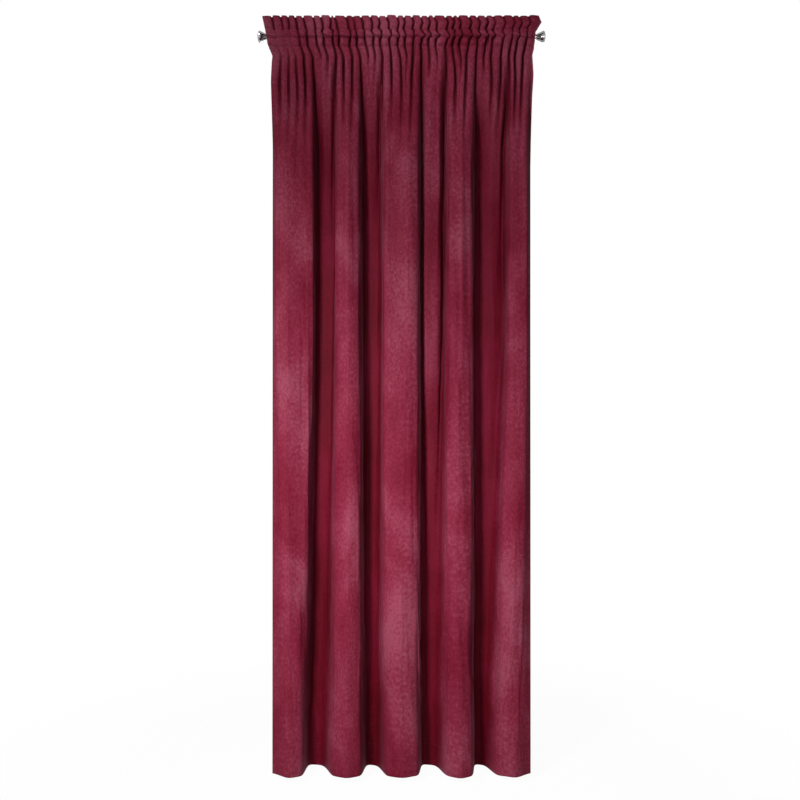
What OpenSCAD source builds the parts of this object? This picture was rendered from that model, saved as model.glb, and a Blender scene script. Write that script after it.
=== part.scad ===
// Gathered velvet curtain panel hanging from a slim chrome rod.
// X runs along the rod, the curtain's front faces -Y and +Z is up.
// The origin is on the rod's axis, at the middle of its length.
// The heading is drawn up into pencil pleats by a gathering tape sewn to its back. Woven loops on
// the tape hang the panel on the rod, and below the tape the pleats merge into deep soft folds.

/* [Panel] */
// Width of the hanging folds
panel_w = 857; // [700:1:1000]
// Drop from the top of the frill to the hem
panel_drop = 2500; // [2000:10:2800]
// Depth of the big folds at the hem, from front to back
fold_depth = 104; // [60:1:130]
// Number of big folds across the panel
fold_turns = 4.58; // [3.5:0.01:5.5]
// Thickness of the velvet, measured from front to back
velvet_t = 1.6; // [1:0.1:2]
// Height of the turned-up bottom hem
hem_h = 75; // [40:1:120]
// Width of each side hem, in columns of the folded surface
side_hem_columns = 6; // [3:1:9]

/* [Heading] */
// Height of the frill above the gathering tape
frill_h = 43; // [20:1:60]
// Height of the gathering tape
tape_h = 56; // [54:1:80]
// Height of the tape's top edge above the rod's axis
tape_above_rod = 11; // [11:1:16]
// Width across the flared top of the frill
frill_w = 916; // [880:1:940]
// Width of the gathered tape
tape_w = 884; // [870:1:900]
// Pencil pleats in each strip of the panel
pleats_per_strip = 3; // [2:1:4]
// Depth of the pencil pleats, from front to back
pleat_depth = 16; // [8:1:18]

/* [Tape loops] */
// Inner radius of a loop around the rod
loop_r = 9.4; // [9.3:0.1:9.6]
// Width of a loop along the rod
loop_w = 12; // [8:1:20]
// Thickness of the woven loop band
loop_t = 1.2; // [0.8:0.1:1.2]
// Height of the part of a loop that is sewn to the tape
tab_h = 13; // [11:0.5:13]

/* [Draw cords] */
// Radius of a draw cord
cord_r = 0.8; // [0.5:0.1:0.8]
// Radius of the knot at each end of a cord
knot_r = 2.4; // [1.5:0.1:2.6]

/* [Rod] */
// Outer radius of the rod
rod_r = 8; // [7:0.1:8]
// Wall thickness of the rod
rod_wall = 1.2; // [0.8:0.1:2]
// Length of the rod between the finials
rod_len = 886; // [870:1:900]

/* [Finials] */
// Length of a finial beyond the rod's end
finial_len = 35; // [30:1:45]
// Radius of the finial's flared rim
finial_r = 19.5; // [14:0.1:22]
// Radius of the finial's neck
finial_neck_r = 8.75; // [8.5:0.05:9.5]
// Depth of the domed end
finial_dome = 6; // [3:0.5:8]
// Length of the plug inside the rod
plug_in_rod = 22; // [15:1:40]
// Length of the plug inside the finial
plug_in_finial = 9; // [5:1:12]

/* [Hidden] */
STRIPS = 11;

$fn = 64;
WINE = [0.47, 0.12, 0.2];
WINE_DARK = [0.36, 0.06, 0.13];
CREAM = [0.9, 0.87, 0.78];
IVORY = [0.95, 0.93, 0.86];
CHROME = [0.8, 0.81, 0.83];
BLACK = [0.08, 0.08, 0.09];

// Clearance between neighbouring soft pieces
gap = 0.3;
tape_t = 0.7;
cord_inset = 3;
plug_clear = 0.05;
plug_r = rod_r - rod_wall - plug_clear;
finial_neck = 4;
finial_rim = 2;
rim_bevel = 0.6;
DOME_STEPS = 6;

// Columns across one strip, a multiple of its pleats and of its crests
COLUMNS = 18;
ALL_COLUMNS = [0, COLUMNS];
// Soft crests in each strip just below the heading, where pencil pleats merge
CRESTS_PER_STRIP = 2;
// Flattens the fronts of the big folds and narrows the valleys between them
FOLD_FLATTENING = 0.2;

frill_top = tape_above_rod + frill_h;
tape_bottom = tape_above_rod - tape_h;
hem_bottom = frill_top - panel_drop;
hem_top = hem_bottom + hem_h;
hem_step = 3;

// The heading lies in front of the rod, its tape clear of the loops' sewn tabs
tab_back_y = -(loop_r + loop_t);
tab_front_y = tab_back_y - loop_t;
tape_back_y = tab_front_y - gap / 2;
heading_mid_y = tape_back_y - tape_t - gap - 2 * velvet_t - pleat_depth / 2;
// Middle plane of the big folds, which puts the centre of mass under the rod
folds_mid_y = 6.4;

half_w = panel_w / 2;
// The heading tapers towards the neck, where the folds leave it a little narrower than they hang
tape_taper = 4;
neck_inset = 5;
pencil = pleat_depth / 2;
fold = fold_depth / 2;

// Heights where the pencil pleats let go, where soft crests take over, where those merge,
// and where the big folds have formed
neck_z = tape_bottom - 38;
crest_z = tape_bottom - 123;
merge_z = tape_bottom - 383;
settle_z = tape_bottom - 963;

// Levels from the top down. Each holds its height, half width, the half depths of its pencil
// pleats, its crests and its big folds, its middle plane, and its layers of velvet
LEVELS = [
  [frill_top, frill_w / 2, pencil, 0, 0, heading_mid_y, 2],
  [tape_above_rod, tape_w / 2 + tape_taper, pencil, 0, 0, heading_mid_y, 2],
  [tape_bottom, tape_w / 2 - tape_taper, pencil, 0, 0, heading_mid_y, 2],
  [neck_z, half_w - neck_inset, 0.3 * pencil, 6, 0.06 * fold, 0.75 * heading_mid_y, 1],
  [crest_z, half_w, 0, 9, 0.2 * fold, 0.25 * heading_mid_y, 1],
  [merge_z, half_w, 0, 5, 0.55 * fold, folds_mid_y, 1],
  [settle_z, half_w, 0, 1.5, 0.9 * fold, folds_mid_y, 1],
  [hem_top + hem_step, half_w, 0, 0, fold, folds_mid_y, 1],
  [hem_top, half_w, 0, 0, fold, folds_mid_y, 2],
  [hem_bottom, half_w, 0, 0, fold, folds_mid_y, 2]
];
FRILL = 0;
TAPE_TOP = 1;
TAPE_END = 2;
HEM_TOP = 7;
HEM_END = len(LEVELS) - 1;

strip_u = 2 / STRIPS;
pleat_pitch = tape_w / (STRIPS * pleats_per_strip);

// ---- names and shared shapes ----

function numbered(stem, i) = str(stem, i < 10 ? "0" : "", i);

// A point across the panel is u, from -1 at the left edge to 1 at the right edge.
// Each wave is 1 at its front and -1 at its back.
function wave(u, turns) = -cos(180 * turns * (u + 1));
function fold_angle(u) = 180 * fold_turns * u;
function big_fold(u) = cos(fold_angle(u)) - FOLD_FLATTENING * cos(2 * fold_angle(u));

function column_u(strip, column) =
  let (edge = gap / panel_w)
  -1 + (strip - 1) * strip_u + edge + (strip_u - 2 * edge) * column / COLUMNS;

function front_y(u, level) =
  level[5]
  - level[2] * wave(u, STRIPS * pleats_per_strip)
  - level[3] * wave(u, STRIPS * CRESTS_PER_STRIP)
  - level[4] * big_fold(u);

// Depths in a layer are counted backwards from the velvet's front
function velvet_back(level) = level[6] * velvet_t;

function cloth_points(strip, columns, levels, depths) = [
  for (l = [levels[0]:levels[1]], c = [columns[0]:columns[1]])
    let (level = LEVELS[l], u = column_u(strip, c))
    [u * level[1], front_y(u, level) + depths[l], level[0]]
];

// A closed layer of cloth, from the first to the last of its columns and levels
module layer(strip, columns, levels, front_depths, back_depths) {
  wide = columns[1] - columns[0] + 1;
  tall = levels[1] - levels[0] + 1;
  back = wide * tall;
  function at(l, c, side = 0) = side + l * wide + c;
  sheet_faces = [
    for (l = [0:tall - 2], c = [0:wide - 2])
      each [
        [at(l, c), at(l, c + 1), at(l + 1, c + 1)],
        [at(l, c), at(l + 1, c + 1), at(l + 1, c)],
        [at(l, c, back), at(l + 1, c + 1, back), at(l, c + 1, back)],
        [at(l, c, back), at(l + 1, c, back), at(l + 1, c + 1, back)]
      ]
  ];
  last = tall - 1;
  rim_faces = [
    for (c = [0:wide - 2])
      each [
        [at(0, c, back), at(0, c + 1, back), at(0, c + 1)],
        [at(0, c, back), at(0, c + 1), at(0, c)],
        [at(last, c), at(last, c + 1), at(last, c + 1, back)],
        [at(last, c), at(last, c + 1, back), at(last, c, back)]
      ]
  ];
  end = wide - 1;
  side_faces = [
    for (l = [0:tall - 2])
      each [
        [at(l, 0, back), at(l, 0), at(l + 1, 0)],
        [at(l, 0, back), at(l + 1, 0), at(l + 1, 0, back)],
        [at(l, end), at(l, end, back), at(l + 1, end, back)],
        [at(l, end), at(l + 1, end, back), at(l + 1, end)]
      ]
  ];
  polyhedron(
    points = concat(
      cloth_points(strip, columns, levels, front_depths),
      cloth_points(strip, columns, levels, back_depths)
    ),
    faces = concat(sheet_faces, rim_faces, side_faces)
  );
}

module along_rod() rotate([0, 90, 0]) children();

// ---- soft pieces ----

module velvet(strip) {
  color(strip % 2 == 0 ? WINE : WINE_DARK)
    layer(
      strip, ALL_COLUMNS, [FRILL, HEM_END],
      [for (level = LEVELS) 0], [for (level = LEVELS) velvet_back(level)]
    );
}

module tape(strip) {
  color(CREAM)
    layer(
      strip, ALL_COLUMNS, [TAPE_TOP, TAPE_END],
      [for (level = LEVELS) velvet_back(level) + gap],
      [for (level = LEVELS) velvet_back(level) + gap + tape_t]
    );
}

module side_hem(strip, columns) {
  color(WINE_DARK)
    layer(
      strip, columns, [TAPE_END + 1, HEM_TOP],
      [for (level = LEVELS) velvet_back(level) + gap],
      [for (level = LEVELS) velvet_back(level) + gap + velvet_t]
    );
}

module side_hem_left() side_hem(1, [0, side_hem_columns]);
module side_hem_right() side_hem(STRIPS, [COLUMNS - side_hem_columns, COLUMNS]);

// A loop sits at the back of the valley after its strip's first pleat
function loop_x(strip) = -tape_w / 2 + ((strip - 1) * pleats_per_strip + 1) * pleat_pitch;

module tape_loop(strip) {
  color(CREAM)
    translate([loop_x(strip) - loop_w / 2, 0, 0])
      difference() {
        union() {
          along_rod() cylinder(r = loop_r + loop_t, h = loop_w);
          translate([0, tab_front_y, -tab_h / 2]) cube([loop_w, 2 * loop_t, tab_h]);
        }
        translate([-1, 0, 0]) along_rod() cylinder(r = loop_r, h = loop_w + 2);
      }
}

// A cord lies along the tape's back, drawn tight, with a knot at each end
module draw_cord(z) {
  length = tape_w - 4 * knot_r;
  color(IVORY)
    translate([0, tape_back_y + gap / 2 + cord_r, z]) {
      translate([-length / 2, 0, 0]) along_rod() cylinder(r = cord_r, h = length);
      for (side = [-1, 1])
        translate([side * length / 2, knot_r - cord_r, 0]) sphere(r = knot_r);
    }
}

// The cords run just inside the tape's edges and along its middle, clear of the loops' tabs
module draw_cord_upper() draw_cord(tape_above_rod - cord_inset);
module draw_cord_middle() draw_cord((tape_above_rod + tape_bottom) / 2);
module draw_cord_lower() draw_cord(tape_bottom + cord_inset);

// ---- rod and finials ----

module rod_tube() {
  color(CHROME)
    translate([-rod_len / 2, 0, 0])
      difference() {
        along_rod() cylinder(r = rod_r, h = rod_len);
        translate([-1, 0, 0]) along_rod() cylinder(r = rod_r - rod_wall, h = rod_len + 2);
      }
}

// A trumpet: a short neck, a cone that opens to a thin rim, and a domed end
module finial_shape() {
  dome_at = finial_len - finial_dome;
  dome = [
    for (step = [1:DOME_STEPS])
      let (angle = 90 * step / DOME_STEPS)
      [(finial_r - rim_bevel) * cos(angle), dome_at + finial_dome * sin(angle)]
  ];
  socket = [[0, plug_in_finial], [plug_r, plug_in_finial], [plug_r, 0], [finial_neck_r, 0]];
  flare = [[finial_neck_r, finial_neck], [finial_r, dome_at - finial_rim], [finial_r, dome_at]];
  rotate_extrude() polygon(concat(socket, flare, dome));
}

module finial_plug() {
  translate([0, 0, -plug_in_rod]) cylinder(r = plug_r, h = plug_in_rod + plug_in_finial);
}

module at_rod_end(side) {
  mirror([side < 0 ? 1 : 0, 0, 0])
    translate([rod_len / 2, 0, 0])
      along_rod()
        children();
}

module finial_left() color(CHROME) at_rod_end(-1) finial_shape();
module finial_right() color(CHROME) at_rod_end(1) finial_shape();
module finial_plug_left() color(BLACK) at_rod_end(-1) finial_plug();
module finial_plug_right() color(BLACK) at_rod_end(1) finial_plug();

// ---- one line for each node ----

rod_tube();
finial_left();
finial_right();
finial_plug_left();
finial_plug_right();
draw_cord_upper();
draw_cord_middle();
draw_cord_lower();
side_hem_left();
side_hem_right();
for (i = [1:STRIPS]) {
  velvet(i);
  tape(i);
  tape_loop(i);
}
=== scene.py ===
import math

import bpy
import numpy as np
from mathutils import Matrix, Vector


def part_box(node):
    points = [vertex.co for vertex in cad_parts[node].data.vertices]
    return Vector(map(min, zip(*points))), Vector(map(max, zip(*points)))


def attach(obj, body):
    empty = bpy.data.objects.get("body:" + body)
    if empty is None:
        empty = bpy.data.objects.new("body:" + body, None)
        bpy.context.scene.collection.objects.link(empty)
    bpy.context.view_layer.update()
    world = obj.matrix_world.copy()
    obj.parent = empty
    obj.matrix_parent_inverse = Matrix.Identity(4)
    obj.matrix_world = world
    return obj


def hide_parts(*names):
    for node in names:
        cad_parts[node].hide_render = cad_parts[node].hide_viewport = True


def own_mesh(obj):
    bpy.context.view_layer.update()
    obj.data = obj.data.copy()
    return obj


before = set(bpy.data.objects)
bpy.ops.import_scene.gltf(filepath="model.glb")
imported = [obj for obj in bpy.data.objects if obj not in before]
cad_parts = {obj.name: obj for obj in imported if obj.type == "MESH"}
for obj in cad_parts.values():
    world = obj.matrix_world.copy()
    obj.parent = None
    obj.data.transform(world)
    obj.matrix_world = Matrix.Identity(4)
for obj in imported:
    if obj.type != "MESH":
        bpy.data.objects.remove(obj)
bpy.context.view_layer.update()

MM = 0.001

# ---------------------------------------------------------------- places, from the frame

STRIPS = sum(name.startswith("velvet_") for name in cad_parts)


def numbered(stem):
    return [f"{stem}_{i + 1:02d}" for i in range(STRIPS)]


VELVET = [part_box(name) for name in numbered("velvet")]
TAPE = [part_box(name) for name in numbered("tape")]
LOOPS = [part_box(name) for name in numbered("tape_loop")]
CORDS = ["draw_cord_upper", "draw_cord_middle", "draw_cord_lower"]

FRILL_TOP = max(high.z for low, high in VELVET)
HEM = min(low.z for low, high in VELVET)
TAPE_TOP = max(high.z for low, high in TAPE)
TAPE_BOTTOM = min(low.z for low, high in TAPE)
TAPE_MIDDLE = (TAPE_TOP + TAPE_BOTTOM) / 2
TAPE_DEPTH = sum(low.y + high.y for low, high in TAPE) / (2 * STRIPS)
HALF_WIDTH = -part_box("side_hem_left")[0].x
FOLD_FRONT = min(low.y for low, high in VELVET)
FOLD_BACK = max(high.y for low, high in VELVET)

# ---------------------------------------------------------------- the cloth's own facts

FLAT_WIDTH = 1.40        # finished width of the panel, laid flat
CLOTH = 0.9 * MM         # thickness of the velvet with its pile
TAPE_THICK = 0.5 * MM
LOOP_BAND = 1.2 * MM     # the CAD's thickness of a loop's webbing
PLEATS_PER_LOOP = 3
PLEATS = PLEATS_PER_LOOP * STRIPS
# Where the sheet's columns lie across one pleat, crowded at the corners of its flat front
PLEAT_COLUMNS = np.array([0.0, 0.055, 0.25, 0.285, 0.33, 0.50, 0.67, 0.715, 0.75, 0.945])
COLUMNS = PLEATS * len(PLEAT_COLUMNS)
HEM_HEIGHT = 75 * MM
SIDE_HEM = 26 * MM
TOP_GAP = 3.0 * MM       # from the front of the heading to the layer turned over behind it
HEM_GAP = 3.0 * MM
SIDE_GAP = 1.4 * MM
TAPE_GAP = 1.6 * MM      # from the turned layer to the tape
TURNED_UNDER_TAPE = 20 * MM
TAPE_SHARE = 0.7         # how deep the tape's own gathers are, next to the velvet's

SEED = 11
random = np.random.default_rng(SEED)

FLAT_COLUMNS = (np.arange(PLEATS)[:, None] + PLEAT_COLUMNS).ravel() * FLAT_WIDTH / PLEATS
SIDE_HEM_COLUMNS = int(np.argmin(abs(FLAT_COLUMNS - SIDE_HEM)))


def smooth(x):
    x = np.clip(x, 0, 1)
    return x * x * (3 - 2 * x)


def at_height(table, z):
    """The columns of a table at one height, from its rows of (height, value, value, ...)."""
    return np.array([np.interp(z, table[::-1, 0], column[::-1]) for column in table.T[1:]])


def travelled(line):
    """The distance along a line of points, from its start to each of them."""
    return np.concatenate([[0], np.cumsum(np.linalg.norm(np.diff(line, axis=0), axis=1))])


# ---------------------------------------------------------------- fold patterns
# Across the panel u runs from -1 at the left edge to 1 at the right edge.
# A pattern is 1 where the cloth stands forward and -1 where it lies back.

U = np.linspace(-1, 1, 3601)
WALL = 0.024             # how much of u the side of a fold takes up

# The broad folds at the front: left and right edge at mid height, left and right edge at the
# hem, the number of soft crests that run into the fold from the heading, and how much of its
# width rounds off at the left and at the right
FRONT_FOLDS = [
    (-1.00, -0.680, -1.00, -0.745, 5, 0.10, 0.60),
    (-0.50, -0.320, -0.55, -0.305, 3, 0.45, 0.40),
    (-0.14, 0.135, -0.135, 0.130, 4, 0.12, 0.25),
    (0.355, 0.550, 0.325, 0.555, 3, 0.12, 0.45),
    (0.830, 1.000, 0.725, 1.000, 2, 0.15, 0.20),
]
# How much of each fold's width rounds off on either side at the hem
ROUND_AT_HEM = 0.45
# How far forward the edge of a broad fold stands when it is sharp, how much less when it is
# all rounded, and how far forward the panel's own side edges stand
SHARP_EDGE = 0.9
ROUNDING_DROP = 0.6
SIDE_EDGE = 0.3
# How far forward the cloth stands where it leaves the left wall of a valley, and where it meets
# the right wall at mid height and at the hem
VALLEY_LEFT = -1.0
VALLEY_RIGHT = (-0.95, -0.45)
# The lesser fold in each valley between them: edges and depth at mid height, edges and the
# depths of both edges at the hem, and its crests
VALLEY_FOLDS = [
    (-0.605, -0.545, -0.75, -0.68, -0.61, -1.00, -0.90, 1),
    (-0.260, -0.195, -0.80, -0.25, -0.19, -1.00, -0.90, 1),
    (0.185, 0.300, -0.05, 0.19, 0.27, -1.00, -0.90, 1),
    (0.700, 0.775, -0.60, 0.62, 0.68, -1.00, -0.85, 2),
]


def fold_line(share, rise):
    """The main folds as a line of (u, depth) points. Share is 0 at mid height and 1 at the hem,
    and rise is how far the lesser folds come forward between the others."""
    def between(middle, hem):
        return middle + (hem - middle) * share

    points = []
    for i, (left, right, hem_left, hem_right, _, round_left, round_right) in enumerate(FRONT_FOLDS):
        left = between(left, hem_left)
        right = between(right, hem_right)
        round_left = between(round_left, ROUND_AT_HEM)
        round_right = between(round_right, ROUND_AT_HEM)
        width = right - left
        points += [
            (left, SHARP_EDGE - ROUNDING_DROP * round_left),
            (left + round_left * width, 1.0),
            (right - round_right * width, 1.0),
            (right, SHARP_EDGE - ROUNDING_DROP * round_right),
        ]
        if i == len(VALLEY_FOLDS):
            break
        a, b, depth, hem_a, hem_b, hem_depth_a, hem_depth_b, _ = VALLEY_FOLDS[i]
        next_left = between(FRONT_FOLDS[i + 1][0], FRONT_FOLDS[i + 1][2])
        points += [
            (right + WALL, VALLEY_LEFT),
            (between(a, hem_a), between(depth, hem_depth_a) + rise),
            (between(b, hem_b), between(depth, hem_depth_b) + rise),
            (next_left - WALL, between(*VALLEY_RIGHT)),
        ]
    points[0] = (-1.0, SIDE_EDGE)
    points[-1] = (1.0, SIDE_EDGE)
    return points


BELL_STEPS = 8           # steps in one standard deviation of the bell that rounds the corners
BELL_REACH = 3 * BELL_STEPS


def rounded_line(points, softness):
    """A line through (u, depth) points with its corners rounded."""
    step = softness / BELL_STEPS
    wide = np.arange(-1 - 4 * softness, 1 + 4 * softness, step)
    line = np.interp(wide, *zip(*points))
    bell = np.exp(-0.5 * (np.arange(-BELL_REACH, BELL_REACH + 1) / BELL_STEPS) ** 2)
    padded = np.pad(line, BELL_REACH, mode="edge")
    return np.interp(U, wide, np.convolve(padded, bell / bell.sum(), "valid"))


def crest_edges():
    """Where the soft crests below the heading end, a few to each of the folds they run into."""
    edges = [-1.0]
    for i, (_, right, _, _, crests, _, _) in enumerate(FRONT_FOLDS):
        edges += list(np.linspace(edges[-1], right + WALL / 2, crests + 1)[1:])
        if i < len(VALLEY_FOLDS):
            next_left = FRONT_FOLDS[i + 1][0] - WALL / 2
            edges += list(np.linspace(edges[-1], next_left, VALLEY_FOLDS[i][-1] + 1)[1:])
    return np.array(edges[1:-1])


# Rows of the gathering: height and, in mm, how far the gaps between the pleats step to the right
# there, how unevenly they do, and how wide a gap's floor and its sides are
GATHERING = np.array([
    [FRILL_TOP, -5.0, 3.0, 2.6, 1.8],
    [TAPE_TOP + 2 * MM, -2.5, 1.8, 3.2, 1.6],
    [TAPE_TOP - 2 * MM, 1.0, 2.6, 3.4, 1.6],
    [TAPE_MIDDLE + 6 * MM, 7.5, 3.2, 1.4, 1.8],
    [TAPE_MIDDLE - 1 * MM, 2.5, 2.2, 3.6, 1.8],
    [TAPE_BOTTOM, 0.0, 1.6, 3.2, 2.0],
    [TAPE_BOTTOM - 45 * MM, 0.0, 3.4, 2.8, 3.4],
    [TAPE_BOTTOM - 120 * MM, 0.0, 0.0, 2.0, 4.6],
    [TAPE_BOTTOM - 400 * MM, 0.0, 0.0, 1.0, 9.0],
]) * [1, MM, MM, MM, MM]
CREST_ROWS = 2           # the lowest rows, where the gaps lie at the edges of the crests
MERGING_ROW = 6          # the row below the tape where the dying gaps differ most
MERGING_SHARE = 0.45     # how far that row's gaps have gone to the crests' edges
# How deep the gaps are that die out below the tape, and those that run on as crests
DYING = [1.0, 1.0, 1.0, 1.0, 1.0, 1.0, 0.7, 0.0, 0.0]
LASTING = [1.0, 1.0, 1.0, 1.0, 1.0, 1.0, 1.0, 0.85, 0.0]
# The pleats at both ends are spread flatter: their gaps, and how deep these are in each row
FLATTER = {
    (1, 2, 3): [0.8, 0.6, 0.3, 0.12, 0.10, 0.15, 0.45, 0.7, 0.0],
    (4,): [0.9, 0.8, 0.7, 0.5, 0.5, 0.6, 0.8, 0.8, 0.0],
    (-2, -3, -4, -5): [0.45, 0.55, 0.5, 0.5, 0.6, 0.9, 1.0, 0.8, 0.0],
}

STRAY = 2.8 * MM         # a gap's usual distance from its even place: one standard deviation
FARTHEST_STRAY = 5 * MM
MOST_WANDER = 1.7        # the most that a gap wanders in one row, in standard deviations
# How strongly the gaps lean in the heading, from the left edge to the right
PULL_PLACES = [-1.0, -0.6, 0.0, 0.6, 1.0]
PULL = [0.1, 0.5, 1.0, 1.5, 0.8]
# How many gaps are shallow at the frill, and how deep they are in its two rows
SHALLOW_GAPS = 0.16
SHALLOW_IN_FRILL = (0.45, 0.6)
# The least and the most of what differs from pleat to pleat: how much farther forward its right
# side stands than its left, its depth, and in mm how far it puffs out between the stitches and
# how slanted the puff is
TWISTS = (-0.42, 0.06)
STRENGTHS = (0.80, 1.12)
PUFFS = (3.0, 9.0)
SLANTS = (0.0, 9.0)
LOWER_PUFF = 0.35        # the puff below the tape's middle, next to the one above it
STITCH_DEPTH = 3.4 * MM  # how deep and how wide a row of stitches sinks into the pleats
STITCH_WIDTH = 3.0 * MM


class Gaps:
    """The gaps between the pencil pleats, as lines that run down the cloth. Below the tape some
    run on between the crests and others die out, so that the pleats beside them merge."""

    def __init__(self):
        rows = len(GATHERING)
        evenly = np.linspace(-1, 1, PLEATS + 1)
        stray = random.normal(0, STRAY, PLEATS + 1).clip(-FARTHEST_STRAY, FARTHEST_STRAY)
        wander = random.normal(0, 1, (rows, PLEATS + 1)).clip(-MOST_WANDER, MOST_WANDER)
        pull = np.interp(evenly, PULL_PLACES, PULL)
        moved = GATHERING[:, 1:2] * pull + GATHERING[:, 2:3] * wander
        across = evenly + stray / HALF_WIDTH + moved / HALF_WIDTH
        depth = np.outer(DYING, random.uniform(0.85, 1.0, PLEATS + 1))
        shallow = random.random(PLEATS + 1) < SHALLOW_GAPS
        depth[MERGING_ROW] *= random.uniform(0.2, 1.3, PLEATS + 1).clip(0, 1)
        lasting = self.lasting_gaps(crest_edges())
        kept = np.array([0, *lasting, PLEATS])
        lower = np.interp(np.arange(PLEATS + 1), kept, [-1, *crest_edges(), 1])
        across[-CREST_ROWS:] = lower
        across[MERGING_ROW] += MERGING_SHARE * (lower - across[MERGING_ROW])
        for gap in lasting:
            depth[:, gap] = np.array(LASTING) * random.uniform(0.8, 1.0, rows)
        for row, share in enumerate(SHALLOW_IN_FRILL):
            depth[row, shallow] *= share
        for gaps, strengths in FLATTER.items():
            depth[:, gaps] = np.array(strengths)[:, None]
        depth[:, [0, -1]] = 0
        across[:, 0], across[:, -1] = -1, 1
        heights = GATHERING[:, :1]
        self.across = np.hstack([heights, np.sort(across, axis=1)])
        self.depth = np.hstack([heights, depth])
        self.pleats = np.arange(PLEATS) + 0.5
        self.twist = random.uniform(*TWISTS, PLEATS)
        self.strength = np.hstack([heights, random.uniform(*STRENGTHS, (rows, PLEATS))])
        self.puff = random.uniform(*PUFFS, PLEATS) * MM
        self.slant = random.uniform(*SLANTS, PLEATS) * MM

    def lasting_gaps(self, edges):
        """The gap nearest to each edge between two crests, each taken once."""
        taken = []
        for i, edge in enumerate(edges):
            first = taken[-1] + 1 if taken else 1
            last = PLEATS - len(edges) + i
            nearest = int(round((edge + 1) / 2 * PLEATS))
            taken.append(min(max(nearest, first), last))
        return taken

    def turns(self, z):
        """Across the panel, the number of the pleat and how far across it each place lies."""
        return np.interp(U, at_height(self.across, z), np.arange(PLEATS + 1))

    def front(self, z):
        """0 in the gaps and about 1 on the pleats' fronts."""
        _, _, floor, side = at_height(GATHERING, z)
        from_gap = abs(U[:, None] - at_height(self.across, z)) * HALF_WIDTH
        open_share = smooth((from_gap - floor) / side)
        solid = np.prod(1 - at_height(self.depth, z) * (1 - open_share), axis=1)
        turns = self.turns(z)
        t = turns % 1
        face = 0.92 + 0.08 * np.sin(np.pi * t)
        return solid * (face + np.interp(turns, self.pleats, self.twist) * (t - 0.5))

    def pattern(self, z):
        """The pleats at one height, as a pattern from -1 to about 1."""
        strength = np.interp(self.turns(z), self.pleats, at_height(self.strength, z))
        return 2 * self.front(z) * strength - 1

    def swell(self, z):
        """How far the cloth swells forward between the tape's rows of stitches, and how far it
        sinks back along them."""
        turns = self.turns(z)
        puff = np.interp(turns, self.pleats, self.puff)
        slant = np.interp(turns, self.pleats, self.slant)
        high = z + slant * ((turns % 1) - 0.5) * 2
        upper = smooth((TAPE_TOP - high) / (20 * MM)) * smooth((high - TAPE_MIDDLE) / (5 * MM))
        lower = smooth((TAPE_MIDDLE - high) / (9 * MM)) * smooth((high - TAPE_BOTTOM) / (9 * MM))
        rows = (TAPE_TOP, TAPE_MIDDLE, TAPE_BOTTOM)
        stitched = sum(np.exp(-((z - row) / STITCH_WIDTH) ** 2) for row in rows)
        return self.front(z) * (puff * (upper + LOWER_PUFF * lower) - STITCH_DEPTH * stitched)


# Half the depth of the pleats and of the main folds in mm, at distances below the tape, before
# each row is fitted to the cloth's width
DEPTHS = np.array([
    [0.000, 8.0, 0.0],
    [0.035, 8.0, 2.5],
    [0.080, 8.5, 7.0],
    [0.150, 7.0, 15.0],
    [0.260, 3.2, 24.0],
    [0.420, 0.6, 30.0],
    [0.900, 0.2, 33.0],
    [1.400, 0.0, 36.0],
    [2.400, 0.0, 45.0],
]) * [1, MM, MM]
# How far the folds lean to the right for each metre that they stand forward, how soft their
# corners are, how far the lesser folds come forward and how far the folds have changed to
# the hem's, all at distances below the tape
LEANS = [(0.2, 0.0), (2.4, 0.08)]
SOFTNESS = [(0.2, 0.006), (0.9, 0.007), (1.7, 0.013), (2.4, 0.017)]
RISES = [(0.12, 0.80), (0.28, 0.40), (0.55, 0.0)]
TO_HEM = [(0.9, 0.0), (1.5, 0.5), (2.3, 1.0)]

# How far out of the hanging width each side edge runs: height, distance
LEFT_EDGE = np.array([
    (FRILL_TOP, 28), (TAPE_TOP - 19 * MM, 15), (TAPE_BOTTOM + 6 * MM, 10),
    (TAPE_BOTTOM - 33 * MM, -6), (TAPE_BOTTOM - 48 * MM, -4), (TAPE_BOTTOM - 113 * MM, 0),
]) * [1, MM]
RIGHT_EDGE = np.array([
    (FRILL_TOP, 22), (FRILL_TOP - 20 * MM, 31), (TAPE_TOP - 11 * MM, 10), (TAPE_MIDDLE - 6 * MM, 9),
    (TAPE_BOTTOM - 11 * MM, 5), (TAPE_BOTTOM - 31 * MM, 0), (TAPE_BOTTOM - 93 * MM, 3),
    (TAPE_BOTTOM - 163 * MM, 0),
]) * [1, MM]
# Rows of the cloth: the distance between them down to each height
ROW_STEPS = [
    (TAPE_TOP, 3.3 * MM), (TAPE_BOTTOM, 3.3 * MM), (TAPE_BOTTOM - 40 * MM, 4.4 * MM),
    (TAPE_BOTTOM - 120 * MM, 7 * MM), (TAPE_BOTTOM - 400 * MM, 14 * MM),
    (HEM + HEM_HEIGHT, 56 * MM), (HEM, 25 * MM),
]


def row_heights():
    rows = [FRILL_TOP]
    for lower, step in ROW_STEPS:
        count = round((rows[-1] - lower) / step)
        rows += list(np.linspace(rows[-1], lower, count + 1)[1:])
    return np.array(rows)


HEIGHTS = row_heights()
ROWS = len(HEIGHTS)


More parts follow.
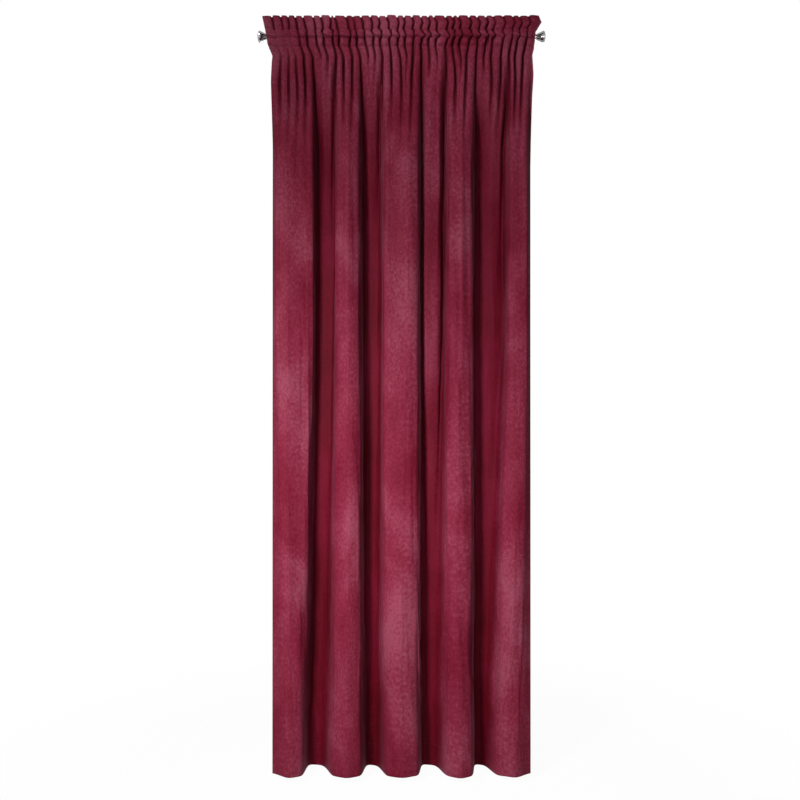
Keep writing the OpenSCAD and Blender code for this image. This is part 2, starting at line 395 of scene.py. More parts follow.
def unevenness(size, tall, wide):
    """Slow random swings below the tape, between the points of a coarse grid of tall by wide."""
    coarse = random.normal(0, size, (tall, wide))
    rows = np.linspace(0, tall - 1, ROWS)
    columns = np.linspace(0, wide - 1, len(U))
    top = rows.astype(int).clip(0, tall - 2)
    left = columns.astype(int).clip(0, wide - 2)
    down = smooth(rows - top)[:, None]
    across = smooth(columns - left)[None, :]
    upper, lower = (
        coarse[row][:, left] * (1 - across) + coarse[row][:, left + 1] * across
        for row in (top, top + 1))
    fade = smooth((TAPE_BOTTOM - HEIGHTS[:, None]) / 0.2) * (1 - U[None, :] ** 8)
    return (upper * (1 - down) + lower * down) * fade


def plan_curve(depth, lean, left, right):
    """The row seen from above: across, and forward as negative, between its left and right."""
    x = (left + (right - left) * (U + 1) / 2) + lean * depth
    x = left + (x - x[0]) * (right - left) / (x[-1] - x[0])
    return x, -depth


def length_of(x, y):
    return np.hypot(np.diff(x), np.diff(y)).sum()


HALVINGS = 22
DEEPEST = 4.0


def fitted_curve(depth, lean, left, right):
    """The row seen from above, its depth scaled until it is as long as the flat cloth is wide."""
    low, high = 0.0, DEEPEST
    for _ in range(HALVINGS):
        factor = (low + high) / 2
        if length_of(*plan_curve(factor * depth, lean, left, right)) > FLAT_WIDTH:
            high = factor
        else:
            low = factor
    return plan_curve(factor * depth, lean, left, right)


def painted_crease_shade(front, folds, below):
    """How much shade is painted on each place of a row, deeper in a gap or a fold: from 0 in front to
    1 at the bottom.
    """
    in_gap = smooth((0.88 - front) / 0.5) * (1 - smooth((below - 0.10) / 0.28))
    in_fold = 0.85 * smooth((0.45 - folds) / 1.2) * smooth((below - 0.02) / 0.25)
    return 1 - (1 - in_gap) * (1 - in_fold)


SWAY = 2.2 * MM          # how far the folds swing sideways and to the front, in most places
BILLOW = 2.0 * MM
FRILL_TOPS = (-2.0, 1.0)  # the least and the most that a pleat's top stands higher, in mm
FRILL_DOME = 1.6 * MM    # how much higher the middle of a pleat's top is than its sides


def gathered_rows():
    """The hanging cloth as a grid of points, rows from the frill down, columns left to right,
    and how much shade is painted on each of them, deeper in the gaps and folds."""
    gaps = Gaps()
    sway = unevenness(SWAY, 9, 14)
    billow = unevenness(BILLOW, 8, 12)
    gap_depth = TAPE_DEPTH - TAPE_GAP - TOP_GAP
    folds_middle = (FOLD_FRONT + FOLD_BACK) / 2
    grid = np.zeros((ROWS, COLUMNS + 1, 3))
    crease_shade = np.zeros((ROWS, COLUMNS + 1))
    for row, z in enumerate(HEIGHTS):
        below = max(0.0, TAPE_BOTTOM - z)
        share, rise, softness, lean = (
            np.interp(below, *zip(*table)) for table in (TO_HEM, RISES, SOFTNESS, LEANS))
        folds = rounded_line(fold_line(share, rise), softness)
        weights = [np.interp(below, DEPTHS[:, 0], DEPTHS[:, k]) for k in (1, 2)]
        depth = weights @ np.array([gaps.pattern(z), folds])
        left = -HALF_WIDTH - at_height(LEFT_EDGE, z)[0]
        right = HALF_WIDTH + at_height(RIGHT_EDGE, z)[0]
        x, y = fitted_curve(depth, lean, left, right)
        in_heading = gap_depth - y.max()
        hanging = folds_middle - (y.max() + y.min()) / 2
        y += in_heading + (hanging - in_heading) * smooth(below / 0.35)
        y += billow[row] - gaps.swell(z)
        x += sway[row]
        along = travelled(np.stack([x, y], axis=1))
        in_gaps = np.interp(at_height(gaps.across, z), U, along)
        evenly = np.linspace(0, along[-1], PLEATS + 1)
        starts = in_gaps + (evenly - in_gaps) * smooth((below - 0.05) / 0.3)
        columns = (starts[:-1, None] + np.diff(starts)[:, None] * PLEAT_COLUMNS).ravel()
        places = np.append(columns, along[-1])
        grid[row, :, 0] = np.interp(places, along, x)
        grid[row, :, 1] = np.interp(places, along, y)
        grid[row, :, 2] = z
        # painted shade: darker in the pleats' gaps and in the valleys between the folds
        crease_shade[row] = np.interp(places, along, painted_crease_shade(gaps.front(z), folds, below))
    frill = smooth((HEIGHTS - TAPE_TOP) / (FRILL_TOP - TAPE_TOP))
    tops = np.repeat(random.uniform(*FRILL_TOPS, PLEATS) * MM, len(PLEAT_COLUMNS))
    domes = np.tile(FRILL_DOME * np.sin(np.pi * PLEAT_COLUMNS), PLEATS)
    grid[:, :-1, 2] += frill[:, None] * (tops + domes)
    return grid, crease_shade


# How firmly the simulation holds the cloth to its gathered shape, at distances below the tape
HELD = [(0.0, 0.50), (0.10, 0.25), (0.30, 0.12), (2.2, 0.08), (2.36, 0.5)]
HELD_IN_FRILL = 0.6
FRAMES = 16
FARTHEST_MOVE = 5 * MM
CLOTH_SETTINGS = {
    "quality": 6,
    "mass": 0.05,
    "tension_stiffness": 40,
    "compression_stiffness": 30,
    "shear_stiffness": 8,
    "bending_stiffness": 0.05,
    "tension_damping": 8,
    "compression_damping": 8,
    "shear_damping": 8,
    "air_damping": 2,
    "vertex_group_mass": "held",
}


def settled(grid):
    """The gathered cloth after it has hung under its own weight for a moment: a simulation with
    the tape's stitches held, and no point let farther than a few millimetres from its place."""
    tall, wide = grid.shape[:2]
    hanging = new_object("settling", grid.reshape(-1, 3), quads(tall, wide).tolist())
    hanging.shape_key_add(name="Basis")
    spread = np.zeros_like(grid)
    spread[..., 0] = np.append(FLAT_COLUMNS, FLAT_WIDTH)
    spread[..., 2] = HEIGHTS[:, None]
    rest = hanging.shape_key_add(name="flat")
    rest.data.foreach_set("co", spread.astype(np.float32).ravel())
    hold(hanging, wide)
    cloth = hanging.modifiers.new("cloth", "CLOTH")
    for setting, value in CLOTH_SETTINGS.items():
        setattr(cloth.settings, setting, value)
    cloth.settings.rest_shape_key = rest
    cloth.collision_settings.use_collision = False
    cloth.collision_settings.use_self_collision = False
    cloth.point_cache.frame_end = FRAMES
    for moment in range(1, FRAMES + 1):
        bpy.context.scene.frame_set(moment)
    hung = hanging.evaluated_get(bpy.context.evaluated_depsgraph_get()).to_mesh()
    places = np.zeros(tall * wide * 3, np.float32)
    hung.vertices.foreach_get("co", places)
    move = places.reshape(tall, wide, 3) - grid
    bpy.data.objects.remove(hanging)
    bpy.context.scene.frame_set(1)
    size = np.linalg.norm(move, axis=2, keepdims=True)
    capped = move * np.minimum(1, FARTHEST_MOVE / np.maximum(size, MM * MM))
    from_edge = np.minimum(np.arange(wide), np.arange(wide)[::-1]) / len(PLEAT_COLUMNS)
    return grid + capped * smooth(from_edge)[:, None]


def hold(piece, wide):
    """Weights that hold the cloth in the simulation: wholly along the tape's stitches, less below."""
    firm = np.interp(TAPE_BOTTOM - HEIGHTS, *zip(*HELD))
    firm[HEIGHTS > TAPE_TOP] = HELD_IN_FRILL
    for row in (TAPE_TOP, TAPE_MIDDLE, TAPE_BOTTOM):
        firm[np.argmin(abs(HEIGHTS - row))] = 1.0
    group = piece.vertex_groups.new(name="held")
    for row, share in enumerate(firm):
        group.add(list(range(row * wide, (row + 1) * wide)), float(share), "REPLACE")


def quads(tall, wide):
    """The faces of a grid of points, as rows of four indices."""
    index = np.arange(tall * wide).reshape(tall, wide)
    faces = np.stack([index[:-1, :-1], index[1:, :-1], index[1:, 1:], index[:-1, 1:]], axis=-1)
    return faces.reshape(-1, 4)


def turn(radius, steps=3):
    """A half round turn to the back, as (distance past the edge, distance behind the front)."""
    angles = np.pi * (np.arange(steps) + 1) / (steps + 1)
    return [(radius * math.sin(a), radius * (1 - math.cos(a))) for a in angles]


def with_turned_edges(count, first_turned, first_gap, last_turned, last_gap):
    """Rows or columns of a sheet with both its edges turned back: index, past the edge, behind."""
    plan = [(i, 0.0, first_gap) for i in range(first_turned, -1, -1)]
    plan += [(0, past, behind) for past, behind in reversed(turn(first_gap / 2))]
    plan += [(i, 0.0, 0.0) for i in range(count)]
    plan += [(count - 1, past, behind) for past, behind in turn(last_gap / 2)]
    plan += [(i, 0.0, last_gap) for i in range(count - 1, count - 2 - last_turned, -1)]
    return [np.array(column) for column in zip(*plan)]


def unit(vectors):
    """The same directions with a length of 1."""
    return vectors / np.linalg.norm(vectors, axis=-1, keepdims=True)


def backward(grid):
    """Unit directions out of the cloth's back: straight back in the heading, its normal below."""
    normal = unit(np.cross(np.gradient(grid, axis=1), np.gradient(grid, axis=0)))
    normal *= np.sign(normal[..., 1].sum())
    share = smooth((TAPE_BOTTOM - grid[..., 2:3]) / 0.15)
    return unit(normal * share + np.array([0, 1, 0]) * (1 - share))


def cloth_sheet(grid, back, crease_shade):
    """Points of the velvet with its top, hem and sides turned back, and the shade painted on each."""
    top_rows = int(np.argmin(abs(HEIGHTS - (TAPE_TOP - TURNED_UNDER_TAPE))))
    hem_rows = int(round(HEM_HEIGHT / (HEIGHTS[-2] - HEIGHTS[-1])))
    side = SIDE_HEM_COLUMNS
    r, past_row, behind_row = with_turned_edges(ROWS, top_rows, TOP_GAP, hem_rows, HEM_GAP)
    c, past_column, behind_column = with_turned_edges(COLUMNS + 1, side, SIDE_GAP, side, SIDE_GAP)
    gaps = np.where(r < ROWS // 2, TOP_GAP, HEM_GAP)
    past_row = past_row * np.where(r == 0, 1, -1)
    past_column = past_column * np.where(c == 0, -1, 1)
    inside_out = (1 - 2 * behind_row / gaps)[:, None] * behind_column[None, :]
    across = unit(np.gradient(grid, axis=1))
    point = grid[np.ix_(r, c)].copy()
    point[..., 2] += past_row[:, None]
    point += across[np.ix_(r, c)] * past_column[None, :, None]
    point += back[np.ix_(r, c)] * (behind_row[:, None] + inside_out)[..., None]
    return point, crease_shade[np.ix_(r, c)]


def flat_places(point):
    """Where each point of a sheet lies when it is spread out flat, in metres."""
    across = travelled(point[point.shape[0] // 2])
    down = travelled(point[:, point.shape[1] // 2])
    return np.dstack(np.meshgrid(across, -down))


def new_object(name, vertices, faces, *materials):
    """A smooth piece made of points and faces, added to the scene."""
    mesh = bpy.data.meshes.new(name)
    mesh.from_pydata(vertices.tolist(), [], faces)
    mesh.shade_smooth()
    for material in materials:
        mesh.materials.append(material)
    made = bpy.data.objects.new(name, mesh)
    bpy.context.scene.collection.objects.link(made)
    return made


def sheet_object(name, point, flat, *materials):
    """A sheet from a grid of points, with its flat places kept as a UV map in metres."""
    made = new_object(name, point.reshape(-1, 3), quads(*point.shape[:2]).tolist(), *materials)
    corner = np.zeros(len(made.data.loops), np.int32)
    made.data.loops.foreach_get("vertex_index", corner)
    layer = made.data.uv_layers.new(name="flat")
    layer.data.foreach_set("uv", flat.reshape(-1, 2)[corner].astype(np.float32).ravel())
    return made


def keep_values(piece, name, values):
    """Keeps a value for each point of a piece, for its material to use."""
    layer = piece.data.attributes.new(name, "FLOAT", "POINT")
    layer.data.foreach_set("value", values.astype(np.float32).ravel())


def thicken(piece, thickness):
    """Gives a sheet its thickness, with its last material on the back and the edges."""
    modifier = piece.modifiers.new("thickness", "SOLIDIFY")
    modifier.thickness = thickness
    modifier.offset = 0
    modifier.material_offset = len(piece.data.materials) - 1
    graph = bpy.context.evaluated_depsgraph_get()
    made = bpy.data.meshes.new_from_object(piece.evaluated_get(graph))
    piece.modifiers.clear()
    piece.data = made
    made.name = piece.name


def tube(path, radii, sides=6):
    """Points and faces of a round tube along a path, closed at both ends."""
    path = np.asarray(path)
    along = unit(np.gradient(path, axis=0))
    reference = (0.0, 1.0, 0.0) if abs(along[0, 1]) < 0.8 else (0.0, 0.0, 1.0)
    side = unit(np.cross(along, reference))
    up = np.cross(side, along)
    angles = np.arange(sides) * 2 * np.pi / sides
    ring = np.cos(angles)[:, None, None] * side + np.sin(angles)[:, None, None] * up
    points = (path + ring * np.asarray(radii).reshape(1, -1, 1)).transpose(1, 0, 2)
    count = len(path)
    index = np.arange(count * sides).reshape(count, sides)
    turned = np.roll(index, -1, axis=1)
    faces = np.stack([index[:-1], index[1:], turned[1:], turned[:-1]], axis=-1).reshape(-1, 4)
    caps = [index[0].tolist(), index[-1][::-1].tolist()]
    return points.reshape(-1, 3), faces.tolist() + caps


def joined(parts):
    """Several (points, faces) as one."""
    points, faces, start = [], [], 0
    for part_points, part_faces in parts:
        points.append(part_points)
        faces += [[i + start for i in face] for face in part_faces]
        start += len(part_points)
    return np.concatenate(points), faces


# A stitch's places along its length, and how thick its thread looks at each
STITCH_PLACES = np.array([0.0, 0.12, 0.5, 0.88, 1.0])
STITCH_SWELL = np.array([0.2, 0.9, 1.0, 0.9, 0.2])
STITCH_SIDES = 5


def stitches(line, length, gap, radius):
    """A running stitch along a line on the cloth, each stitch sinking into it at both ends."""
    along = travelled(line)
    parts = []
    for start in np.arange(gap, along[-1] - length - gap, length + gap):
        places = start + length * STITCH_PLACES
        path = np.array([np.interp(places, along, line[:, k]) for k in range(3)]).T
        parts.append(tube(path, radius * STITCH_SWELL, STITCH_SIDES))
    return joined(parts)


# ---------------------------------------------------------------- materials


class Shader:
    """A short way to write node trees."""

    def __init__(self, name):
        self.material = bpy.data.materials.new(name)
        self.material.use_nodes = True
        self.tree = self.material.node_tree
        self.surface = self.tree.nodes["Principled BSDF"]

    def node(self, kind, **values):
        made = self.tree.nodes.new("ShaderNode" + kind)
        for key, value in values.items():
            setattr(made, key, value)
        return made

    def link(self, source, target):
        self.tree.links.new(source, target)

    def set(self, values):
        for name, value in values.items():
            self.surface.inputs[name].default_value = value

    def place(self, stretch=(1, 1, 1), flat=True):
        """Coordinates on the flat cloth, or in the object's own frame."""
        if flat:
            source = self.node("UVMap", uv_map="flat").outputs["UV"]
        else:
            source = self.node("TexCoord").outputs["Object"]
        mapping = self.node("Mapping")
        mapping.inputs["Scale"].default_value = stretch
        self.link(source, mapping.inputs["Vector"])
        return mapping.outputs["Vector"]

    def noise(self, place, scale, detail=3.0, roughness=0.5, distortion=0.0):
        made = self.node("TexNoise")
        made.inputs["Scale"].default_value = scale
        made.inputs["Detail"].default_value = detail
        made.inputs["Roughness"].default_value = roughness
        made.inputs["Distortion"].default_value = distortion
        self.link(place, made.inputs["Vector"])
        return made.outputs["Fac"]

    def ribs(self, place, direction, scale, distortion=0.6):
        made = self.node("TexWave", wave_type="BANDS", bands_direction=direction)
        made.inputs["Scale"].default_value = scale
        made.inputs["Distortion"].default_value = distortion
        self.link(place, made.inputs["Vector"])
        return made.outputs["Fac"]

    def ramp(self, value, *stops):
        made = self.node("ValToRGB")
        while len(made.color_ramp.elements) < len(stops):
            made.color_ramp.elements.new(0.5)
        for element, (position, colour) in zip(made.color_ramp.elements, stops):
            element.position = position
            element.color = (*colour, 1)
        self.link(value, made.inputs["Fac"])
        return made.outputs["Color"]

    def maths(self, operation, a, b):
        made = self.node("Math", operation=operation)
        for socket, value in zip(made.inputs, (a, b)):
            if isinstance(value, (int, float)):
                socket.default_value = value
            else:
                self.link(value, socket)
        return made.outputs["Value"]

    def multiply(self, share, a, b):
        made = self.node("Mix", data_type="RGBA", blend_type="MULTIPLY")
        made.inputs["Factor"].default_value = share
        self.link(a, made.inputs[6])
        self.link(b, made.inputs[7])
        return made.outputs[2]

    def colour(self, value):
        self.link(value, self.surface.inputs["Base Color"])

    def bump(self, height, strength, distance):
        made = self.node("Bump")
        made.inputs["Strength"].default_value = strength
        made.inputs["Distance"].default_value = distance
        self.link(height, made.inputs["Height"])
        self.link(made.outputs["Normal"], self.surface.inputs["Normal"])


def velvet_front():
    """Wine velvet: a short pile with a sheen, brushed lighter and darker in soft clouds, with shade
    painted darker and redder into the gaps and folds.
    """
    s = Shader("velvet_front")
    clouds = s.noise(s.place((1, 0.6, 1)), 5, 4, 0.55, 0.3)
    marks = s.noise(s.place((1.5, 1.0, 1)), 85, 5, 0.70, 0.2)
    pile = s.noise(s.place((1.0, 1.6, 1)), 420, 3, 0.65)
    tone = s.maths("ADD", s.maths("MULTIPLY", clouds, 0.55), s.maths("MULTIPLY", marks, 0.45))
    cloth = s.ramp(tone, (0.39, (0.084, 0.0030, 0.0108)), (0.50, (0.118, 0.0102, 0.0242)),
                   (0.61, (0.156, 0.0300, 0.0510)))
    speck = s.ramp(pile, (0.35, (0.74, 0.74, 0.74)), (0.65, (1.0, 1.0, 1.0)))
    # Painted shade: the colour is darkened and made a deeper red where the cloth lies in the gaps and
    # folds
    crease_shade = s.node("Attribute", attribute_name="crease_shade").outputs["Fac"]
    painted_shade = s.ramp(crease_shade, (0.0, (1.0, 1.0, 1.0)), (0.5, (0.72, 0.40, 0.50)),
                    (0.85, (0.52, 0.065, 0.20)), (1.0, (0.28, 0.01, 0.08)))
    s.colour(s.multiply(1.0, s.multiply(0.8, cloth, speck), painted_shade))
    s.link(s.maths("ADD", s.maths("MULTIPLY", marks, 0.25), 0.55), s.surface.inputs["Roughness"])
    s.set({"Specular IOR Level": 0.10, "Specular Tint": (1.0, 0.50, 0.66, 1), "Sheen Weight": 0.12,
           "Sheen Roughness": 0.3, "Sheen Tint": (0.95, 0.40, 0.55, 1)})
    fuzz = s.maths("ADD", s.maths("MULTIPLY", marks, 0.5), s.maths("MULTIPLY", pile, 0.5))
    s.bump(fuzz, 0.35, 0.8 * MM)
    return s.material


def velvet_reverse():
    """The velvet's knitted back: matt, a little paler, with fine ribs."""
    s = Shader("velvet_reverse")
    clouds = s.noise(s.place(), 14, 4, 0.6)
    ribs = s.ribs(s.place(), "X", 260, 1.5)
    cloth = s.ramp(clouds, (0.3, (0.115, 0.012, 0.024)), (0.7, (0.165, 0.022, 0.038)))
    s.colour(s.multiply(0.25, cloth, ribs))
    s.set({"Roughness": 0.92, "Specular IOR Level": 0.08, "Sheen Weight": 0.08,
           "Sheen Tint": (0.85, 0.35, 0.45, 1)})
    s.bump(ribs, 0.35, 0.4 * MM)
    return s.material


def woven(name, dark, light, threads, flat=True):
    """A woven band, its threads crossing at right angles, a little soiled."""
    s = Shader(name)
    place = s.place(flat=flat)
    weft = s.ribs(place, "X", threads)
    warp = s.ribs(place, "Y" if flat else "Z", threads)
    weave = s.maths("MULTIPLY", weft, warp)
    soil = s.noise(place, 30, 4)
    tone = s.maths("ADD", s.maths("MULTIPLY", weave, 0.6), s.maths("MULTIPLY", soil, 0.4))
    s.colour(s.ramp(tone, (0.1, dark), (0.8, light)))
    s.set({"Roughness": 0.85, "Specular IOR Level": 0.2, "Sheen Weight": 0.1})
    s.bump(weave, 0.5, 0.3 * MM)
    return s.material


def twisted(name, dark, light, twists):
    """A twisted cord or thread, its strands running slantwise round it."""
    s = Shader(name)
    place = s.place(flat=False)
    strands = s.ribs(place, "DIAGONAL", twists, 0.3)
    fuzz = s.noise(place, 400, 3)
    tone = s.maths("ADD", s.maths("MULTIPLY", strands, 0.7), s.maths("MULTIPLY", fuzz, 0.3))
    s.colour(s.ramp(tone, (0.15, dark), (0.8, light)))
    s.set({"Roughness": 0.7, "Specular IOR Level": 0.3})
    s.bump(tone, 0.6, 0.3 * MM)
    return s.material


def chrome():
    """Polished chrome with faint wiping marks."""
    s = Shader("chrome")
    wipes = s.noise(s.place((1, 8, 8), flat=False), 60, 4, 0.6)
    s.colour(s.ramp(wipes, (0.3, (0.60, 0.61, 0.63)), (0.7, (0.70, 0.71, 0.73))))
    s.link(s.maths("ADD", s.maths("MULTIPLY", wipes, 0.10), 0.06), s.surface.inputs["Roughness"])
    s.set({"Metallic": 1.0})
    s.bump(wipes, 0.04, 0.1 * MM)
    return s.material


def plug_plastic():
    """Dark moulded plastic with a fine grain."""
    s = Shader("plug_plastic")
    grain = s.noise(s.place(flat=False), 900, 3)
    s.colour(s.ramp(grain, (0.3, (0.018, 0.018, 0.020)), (0.7, (0.035, 0.035, 0.038))))
    s.set({"Roughness": 0.55})
    s.bump(grain, 0.3, 0.1 * MM)
    return s.material


# ---------------------------------------------------------------- how soft pieces move


def hang(piece):
    """A piece as wide as the panel, attached to the curtain's body, with a mesh of its own."""
    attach(piece, "curtain")
    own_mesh(piece)
    return piece


# ---------------------------------------------------------------- pieces


def make_velvet(grid, back, crease_shade):
    point, point_crease_shade = cloth_sheet(grid, back, crease_shade)
    materials = (velvet_front(), velvet_reverse())
    velvet = sheet_object("velvet_panel", point, flat_places(point), *materials)
    # The shade painted into the gaps and folds, kept on the points for the velvet's colour
    keep_values(velvet, "crease_shade", point_crease_shade)
    thicken(velvet, CLOTH)
    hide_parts(*numbered("velvet"), "side_hem_left", "side_hem_right")
    return hang(velvet)


def make_tape(grid):
    """The gathering tape, sewn to the pleats' backs and gathered with them, a little flatter."""
    inside = (HEIGHTS <= TAPE_TOP + 0.1 * MM) & (HEIGHTS >= TAPE_BOTTOM - 0.1 * MM)
    point = grid[inside][:, 1:-1].copy()
    back_most = point[..., 1].max(axis=1, keepdims=True)
    point[..., 1] = back_most - TAPE_SHARE * (back_most - point[..., 1]) + TOP_GAP + TAPE_GAP
    weave = woven("tape_weave", (0.56, 0.52, 0.43), (0.88, 0.85, 0.77), 220)
    tape = sheet_object("heading_tape", point, flat_places(point), weave)
    thicken(tape, TAPE_THICK)
    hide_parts(*numbered("tape"))
    return hang(tape)


CORD_PLACES = 60         # points along a cord, and sides round it
CORD_SIDES = 8


def make_cords():
    """The three cords that gather the tape, knotted at both ends."""
    cotton = twisted("cord_cotton", (0.50, 0.47, 0.40), (0.90, 0.88, 0.82), 420)
    for name in CORDS:
        low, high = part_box(name)
        middle = (low + high) / 2
        knot = (high.z - low.z) / 2
        radius = knot / 3
        ends = (low.x + knot, high.x - knot)
        line = [(x, middle.y, middle.z) for x in np.linspace(*ends, CORD_PLACES)]
        parts = [tube(line, np.full(CORD_PLACES, radius), CORD_SIDES)]
        for x, outward in ((ends[0], -1), (ends[1], 1)):
            parts.append(knot_shape(x, middle.y, middle.z, knot, outward))
        cord = new_object(name + "_twisted", *joined(parts), cotton)
        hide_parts(name)
        hang(cord)


KNOT_PLACES = 40         # points along a knot, and sides round it
KNOT_SIDES = 7
KNOT_CORD = 0.38         # half the thickness of the knotted cord, next to half the knot's


def knot_shape(x, y, z, size, outward):
    """An overhand knot: a tight three-lobed turn of cord, with its cut end sticking out."""
    t = np.linspace(0, 2 * np.pi, KNOT_PLACES)
    thick = size * KNOT_CORD
    reach = (size - thick) / 3
    path = np.stack([
        x + reach * np.sin(3 * t),
        y + reach * (np.sin(t) + 2 * np.sin(2 * t)),
        z + reach * (np.cos(t) - 2 * np.cos(2 * t)),
    ], axis=1)
    stub = [(x, y, z), (x + outward * size * 0.9, y, z - size * 0.3)]
    turns = tube(path, np.full(KNOT_PLACES, thick), KNOT_SIDES)
    return joined([turns, tube(stub, [size / 3, size / 3], KNOT_SIDES)])


LOOP_THICK = 0.9 * MM
LOOP_SAG = 1.0 * MM      # how far a loop hangs below the middle of the rod
# How far round a loop runs from its back, in degrees either way, and in how many places
LOOP_TURN = 116
LOOP_PLACES = 36
# From the tape to the round part of a loop: shares of its depth at the tape, and heights in mm
LOOP_NECK = [(1.0, 0.4), (1.0, 3.4), (0.97, 5.6), (0.84, 7.3), (0.62, 8.2)]


def make_loops():
    """A woven loop behind every third gap, round the rod, with both its ends sewn to the tape."""
    webbing = woven("loop_webbing", (0.55, 0.51, 0.42), (0.86, 0.83, 0.74), 260)
    for i, (low, high) in enumerate(LOOPS):
        name = numbered("tape_loop")[i]
        front = low.y + LOOP_BAND / 2
        radius = high.z - LOOP_THICK
        angles = np.radians(np.linspace(LOOP_TURN, -LOOP_TURN, LOOP_PLACES))
        ring = [(radius * math.cos(a), radius * math.sin(a) - LOOP_SAG) for a in angles]
        upper = [(front * share, height * MM) for share, height in LOOP_NECK]
        lower = [(y, -z) for y, z in reversed(upper)]
        band = new_band(name + "_band", upper + ring + lower, low.x, high.x, LOOP_THICK, webbing)
        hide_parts(name)
        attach(band, f"strip_{i + 1:02d}")


def new_band(name, outline, left, right, thickness, *materials):
    """A flat band from left to right, along an outline of (depth, height) points."""
    outline = np.array(outline)
    across = np.linspace(left, right, 5)
    point = np.zeros((len(outline), len(across), 3))
    point[..., 0] = across[None, :]
    point[..., 1:] = outline[:, None, :]
    band = sheet_object(name, point, flat_places(point), *materials)
    thicken(band, thickness)
    return band


THREAD = 0.28 * MM       # half the thickness of the sewing thread
PROUD = CLOTH / 2 + 0.1 * MM
ROW_STITCH = (4.0 * MM, 1.6 * MM)   # a stitch's length and the gap after it
SIDE_STITCH = (5.0 * MM, 2.0 * MM)


def stitch_piece(name, line, back, thread, stitch):
    """A line of stitches on the cloth's front, standing just proud of it."""
    made = new_object(name, *stitches(line - PROUD * back, *stitch, THREAD), thread)
    return hang(made)


def line_at(grid, z):
    """The line of a grid at one height, between its rows."""
    row = int(np.searchsorted(-HEIGHTS, -z).clip(1, ROWS - 1))
    share = (HEIGHTS[row - 1] - z) / (HEIGHTS[row - 1] - HEIGHTS[row])
    return grid[row - 1] + (grid[row] - grid[row - 1]) * share


def make_stitches(grid, back):
    """The rows that hold the tape, the hem and the side hems, in thread of the velvet's colour."""
    thread = twisted("wine_thread", (0.060, 0.004, 0.010), (0.170, 0.018, 0.036), 500)
    rows = {
        "stitch_tape_top": TAPE_TOP - 2 * MM,
        "stitch_tape_middle": TAPE_MIDDLE,
        "stitch_tape_bottom": TAPE_BOTTOM + 2 * MM,
        "stitch_hem": HEM + HEM_HEIGHT - 3 * MM,
    }
    sides = {
        "stitch_side_left": SIDE_HEM_COLUMNS - 1,
        "stitch_side_right": -SIDE_HEM_COLUMNS,
    }
    made = [stitch_piece(name, line_at(grid, z), line_at(back, z), thread, ROW_STITCH)
            for name, z in rows.items()]
    made += [stitch_piece(name, grid[:, column], back[:, column], thread, SIDE_STITCH)
             for name, column in sides.items()]
    return made


# ---------------------------------------------------------------- studio

FLOOR_BELOW = 30 * MM    # from the hem down to the floor
FLOOR_RADIUS = 2.0
FLOOR_FADE = (0.7, 1.8)  # where the floor begins to fade out, and where it ends
FLOOR_GREY = (0.62, 0.62, 0.62, 1)
FLOOR_PALER = 0.96       # how much paler the camera sees the floor than it is

# How bright the world is: as a light, in reflections and to the camera
WORLD_LIGHT = 0.04
WORLD_IN_REFLECTIONS = 0.45
WORLD_SEEN = 1.0

# Soft boxes: name, place, target, width and height, watts and the spread of the beam in degrees
LIGHTS = [
    ("key", (-1.15, -2.2, -0.70), (0, 0, -1.78), (0.5, 0.5), 39, 92),
    ("fill", (0.3, -2.8, -0.9), (0, 0, -1.65), (3.4, 1.6), 14.5, 72),
    ("rim", (-1.6, -0.9, 0.1), (0, 0, -0.2), (0.3, 0.6), 1.3, 150),
    ("back", (0.9, 2.6, -1.1), (0, 0, -1.2), (1.6, 2.2), 24, 140),
    ("top", (-0.5, -1.3, 0.85), (0, 0, 0.05), (0.9, 0.3), 1.7, 30),
]

CAMERA_DISTANCE = 3.0
SEEN_SHARE = 1.051       # how much of the height the camera sees, next to the panel's
CAMERA_SHIFT = (-5 * MM, -10.5 * MM)  # right of the panel's middle and above it


def make_floor():
    """A plain pale floor a little below the hem, fading out round the object. The camera sees it
    paler than it lights the hem, as it would on a white sweep."""
    s = Shader("studio_floor")
    s.set({"Roughness": 0.9, "Base Color": FLOOR_GREY, "Specular IOR Level": 0.1})
    output = s.tree.nodes["Material Output"].inputs["Surface"]
    paler = s.node("MixShader")
    seen = s.maths("MULTIPLY", s.node("LightPath").outputs["Is Camera Ray"], FLOOR_PALER)
    s.link(seen, paler.inputs[0])
    s.link(s.surface.outputs[0], paler.inputs[1])
    s.link(s.node("Emission").outputs[0], paler.inputs[2])
    length = s.node("VectorMath", operation="LENGTH")
    s.link(s.place(flat=False), length.inputs[0])
    fade = s.node("MapRange", interpolation_type="SMOOTHSTEP")
    fade.inputs["From Min"].default_value = FLOOR_FADE[0]
    fade.inputs["From Max"].default_value = FLOOR_FADE[1]
    s.link(length.outputs["Value"], fade.inputs["Value"])
    mixer = s.node("MixShader")
    s.link(fade.outputs["Result"], mixer.inputs[0])
    s.link(paler.outputs[0], mixer.inputs[1])
    s.link(s.node("BsdfTransparent").outputs[0], mixer.inputs[2])
    s.link(mixer.outputs[0], output)
    bpy.ops.mesh.primitive_circle_add(vertices=96, radius=FLOOR_RADIUS, fill_type="NGON",
                                      location=(0, 0, HEM - FLOOR_BELOW))
    floor = bpy.context.object
    floor.name = "studio_floor"
    floor.data.materials.append(s.material)


def area_light(name, place, target, size, power, spread):
    """A soft box of a width and a height, aimed at a target, its beam spread so many degrees."""
    light = bpy.data.lights.new(name, "AREA")
    light.shape = "RECTANGLE"
    light.size, light.size_y = size
    light.energy = power
    light.spread = math.radians(spread)
    lamp = bpy.data.objects.new(name, light)
    lamp.location = place
    aim = Vector(target) - Vector(place)
    lamp.rotation_euler = aim.to_track_quat("-Z", "Y").to_euler()
    lamp.visible_camera = False
    bpy.context.scene.collection.objects.link(lamp)


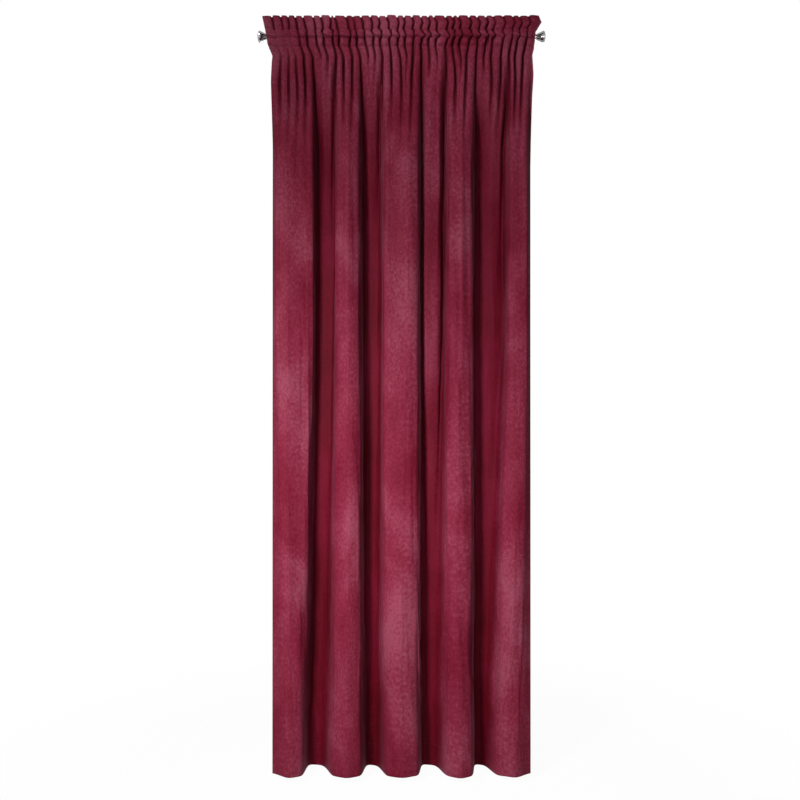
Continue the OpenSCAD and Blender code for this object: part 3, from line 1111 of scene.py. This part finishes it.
def make_world():
    """White behind everything, grey in reflections, and a much dimmer light from all round."""
    world = bpy.data.worlds.new("studio")
    bpy.context.scene.world = world
    world.use_nodes = True
    tree = world.node_tree
    output = tree.nodes["World Output"].inputs["Surface"]
    path = tree.nodes.new("ShaderNodeLightPath")
    shown = backdrop(tree.nodes["Background"], WORLD_LIGHT)
    ways = {"Is Glossy Ray": WORLD_IN_REFLECTIONS, "Is Camera Ray": WORLD_SEEN}
    for kind, strength in ways.items():
        mixer = tree.nodes.new("ShaderNodeMixShader")
        other = backdrop(tree.nodes.new("ShaderNodeBackground"), strength)
        tree.links.new(path.outputs[kind], mixer.inputs[0])
        tree.links.new(shown, mixer.inputs[1])
        tree.links.new(other, mixer.inputs[2])
        shown = mixer.outputs[0]
    tree.links.new(shown, output)


def backdrop(node, strength):
    """The output of a background node, once it is white and so bright."""
    node.inputs["Color"].default_value = (1, 1, 1, 1)
    node.inputs["Strength"].default_value = strength
    return node.outputs[0]


def make_camera():
    """A level camera straight in front of the panel's middle, with the panel filling its height."""
    data = bpy.data.cameras.new("camera")
    camera = bpy.data.objects.new("camera", data)
    to_panel = CAMERA_DISTANCE + FOLD_FRONT
    seen_height = (FRILL_TOP - HEM) * SEEN_SHARE * CAMERA_DISTANCE / to_panel
    data.lens = data.sensor_width * CAMERA_DISTANCE / seen_height
    right, up = CAMERA_SHIFT
    camera.location = (right, -CAMERA_DISTANCE, (FRILL_TOP + HEM) / 2 + up)
    camera.rotation_euler = (math.pi / 2, 0, 0)
    bpy.context.scene.collection.objects.link(camera)
    bpy.context.scene.camera = camera


def dress(names, material):
    """Gives CAD nodes their material."""
    for name in names:
        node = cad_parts[name]
        node.data.materials.clear()
        node.data.materials.append(material)


make_camera()
make_world()
make_floor()
for light in LIGHTS:
    area_light(*light)
bpy.context.scene.view_settings.view_transform = "Standard"

# The cloth's points, and the shade painted into its gaps and folds
cloth, cloth_crease_shade = gathered_rows()
cloth = settled(cloth)
cloth_back = backward(cloth)
velvet = make_velvet(cloth, cloth_back, cloth_crease_shade)
tape = make_tape(cloth)
make_cords()
make_loops()
rows_of_stitches = make_stitches(cloth, cloth_back)
dress(["rod_tube", "finial_left", "finial_right"], chrome())
dress(["finial_plug_left", "finial_plug_right"], plug_plastic())
